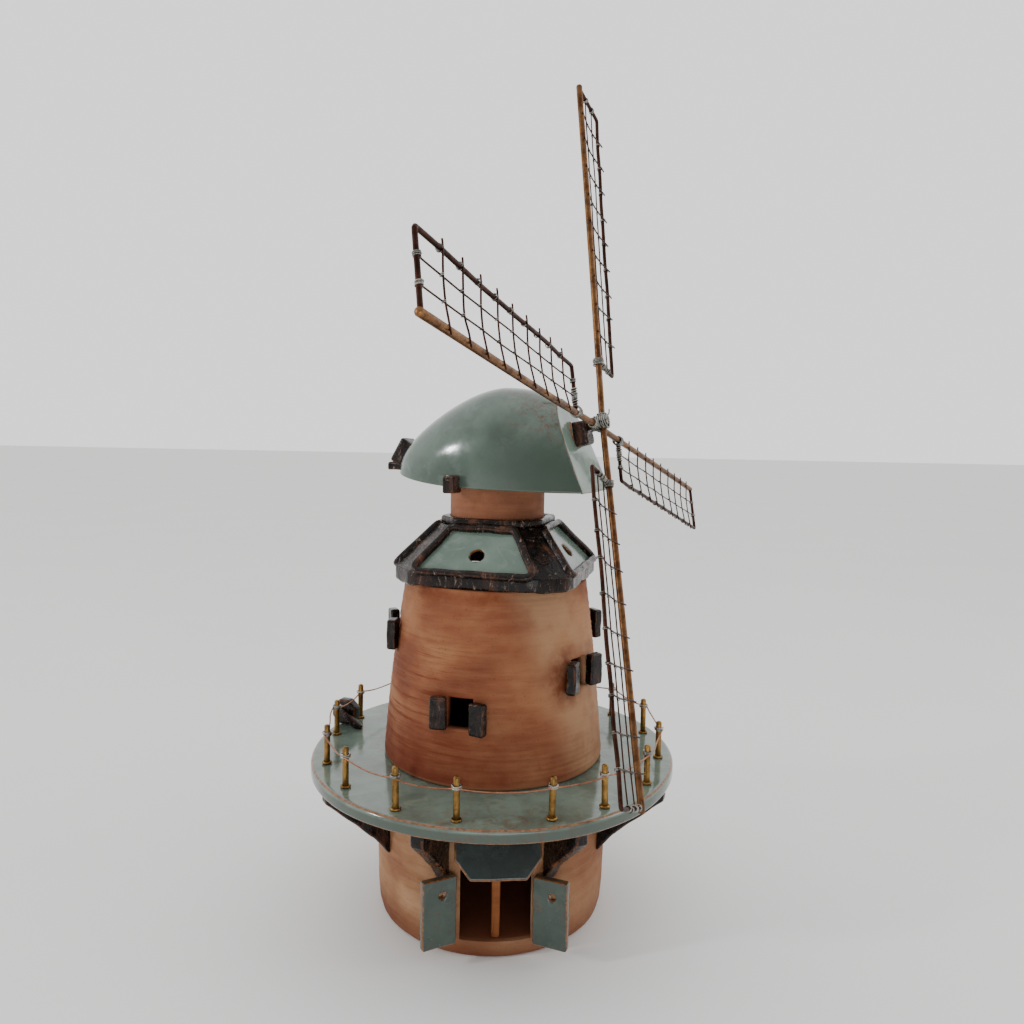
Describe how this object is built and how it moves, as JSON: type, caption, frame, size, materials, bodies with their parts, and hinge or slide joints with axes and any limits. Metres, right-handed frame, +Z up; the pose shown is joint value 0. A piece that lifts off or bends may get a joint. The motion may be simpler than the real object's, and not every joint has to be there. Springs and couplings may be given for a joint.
{
  "type": "model gallery windmill",
  "caption": "Handmade glazed ceramic model of a traditional gallery windmill, with a round base, railed gallery, tapered tower, skirt roof, boat-shaped cap and rod-and-wire sails that turn.",
  "frame": {"origin": "centre of the base on the ground, on the tower's axis", "axes": "+Z up; the doorway faces -Y; the cap and sails face 63 degrees round from the door towards +X"},
  "size_m": [0.3185, 0.4171, 0.5795],
  "materials": {
    "clay_wall": "unglazed terracotta with throwing rings",
    "green_glaze": "gloss grey-green glaze breaking brown at edges",
    "dark_glaze": "gloss black-brown glaze breaking orange",
    "brass_rod": "tarnished brass rod",
    "copper_rod": "brown oxidised rod",
    "copper_wire": "thin browned wire",
    "tie_wire": "tinned binding wire"
  },
  "bodies": {
    "mill": {"base_wall": "clay_wall", "door_post": "clay_wall", "leaf_left": "green_glaze", "leaf_right": "green_glaze", "door_hood": "green_glaze", "corbels": "dark_glaze", "gallery_deck": "green_glaze", "fence_posts": "brass_rod", "post_feet": "brass_rod", "rail_ties": "tie_wire", "rail_wire": "copper_wire", "winch_wheel": "dark_glaze", "winch_strut": "dark_glaze", "tower_wall": "clay_wall", "shutters_low": "dark_glaze", "shutters_mid": "dark_glaze", "shutters_left": "dark_glaze", "shutters_right": "dark_glaze", "shutters_back": "dark_glaze", "skirt_panels": "green_glaze", "skirt_frame": "dark_glaze", "skirt_eave": "dark_glaze", "skirt_rail": "dark_glaze", "neck_ring": "clay_wall", "cap_shell": "green_glaze", "cap_face": "green_glaze", "tail_block": "dark_glaze", "tail_bar": "dark_glaze", "cross_beams": "dark_glaze", "shaft_collar": "green_glaze", "shaft_block": "dark_glaze"},
    "sails": {"windshaft": "copper_rod", "hub_binding": "tie_wire", "stock_upright": "brass_rod", "stock_level": "brass_rod", "frame_a": "copper_rod", "frame_b": "copper_rod", "frame_c": "copper_rod", "frame_d": "copper_rod", "lattice_a": "copper_wire", "lattice_b": "copper_wire", "lattice_c": "copper_wire", "lattice_d": "copper_wire"}
  },
  "joints": [
    {"name": "sails_turn", "type": "hinge", "parent": "mill", "child": "sails", "pos_m": [0.06504, -0.03271, 0.34267], "axis": [0.8719, -0.4385, 0.2181], "continuous": true}
  ]
}
